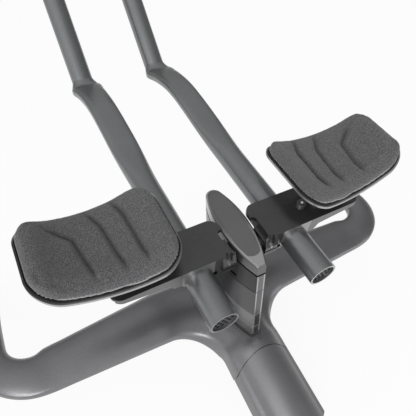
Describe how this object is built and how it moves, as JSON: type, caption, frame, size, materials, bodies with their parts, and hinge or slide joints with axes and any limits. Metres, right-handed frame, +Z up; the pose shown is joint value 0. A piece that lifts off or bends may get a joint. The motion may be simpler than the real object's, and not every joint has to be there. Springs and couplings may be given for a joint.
{
  "type": "time trial handlebar",
  "caption": "Moulded aero base bar with forward horns and stem, a tall bladed riser post, S-bend extensions on clamp wings, and scooped forearm pads.",
  "frame": {"origin": "middle of the steerer clamp bore", "axes": "+Y forward, the way the horns and extensions point; +Z up; +X to the rider's right. Steerer raked 17 degrees."},
  "size_m": [0.4514, 0.4596, 0.2794],
  "materials": {
    "moulded_carbon": "satin clear coat over moulded carbon, very fine mottling",
    "post_grey": "satin dark grey coating",
    "dark_seal": "matt black",
    "inlay_dark": "satin dark inlay",
    "wing_black": "satin black anodised look, bright worn edges",
    "shaft_alloy": "turned, grey",
    "bolt_steel": "bright button and cap heads",
    "insert_brass": "turned, hidden",
    "plug_black": "matt black, perforated",
    "cup_shell": "satin shell",
    "hook_layer": "black hook tape",
    "pad_fabric": "dark heathered knit over foam"
  },
  "bodies": {
    "root": {"base_bar": "moulded_carbon", "stem_cover": "moulded_carbon", "steerer_clamp_bolts": "bolt_steel", "post_foot": "dark_seal", "spacer_low": "post_grey", "spacer_mid": "post_grey", "spacer_high": "post_grey", "post_head": "post_grey", "head_cap": "post_grey", "cap_inlay": "inlay_dark", "post_bolts": "bolt_steel", "post_inserts": "insert_brass", "cap_bolts": "bolt_steel", "tilt_shaft": "shaft_alloy", "left_wing": "wing_black", "left_extension": "moulded_carbon", "left_extension_strap": "wing_black", "left_end_plug": "plug_black", "left_arm_cup": "cup_shell", "left_pad_backing": "hook_layer", "left_arm_pad": "pad_fabric", "right_wing": "wing_black", "right_extension": "moulded_carbon", "right_extension_strap": "wing_black", "right_end_plug": "plug_black", "right_arm_cup": "cup_shell", "right_pad_backing": "hook_layer", "right_arm_pad": "pad_fabric", "wing_pinch_bolts": "bolt_steel", "strap_bolts": "bolt_steel", "cup_bolts": "bolt_steel"}
  },
  "joints": []
}
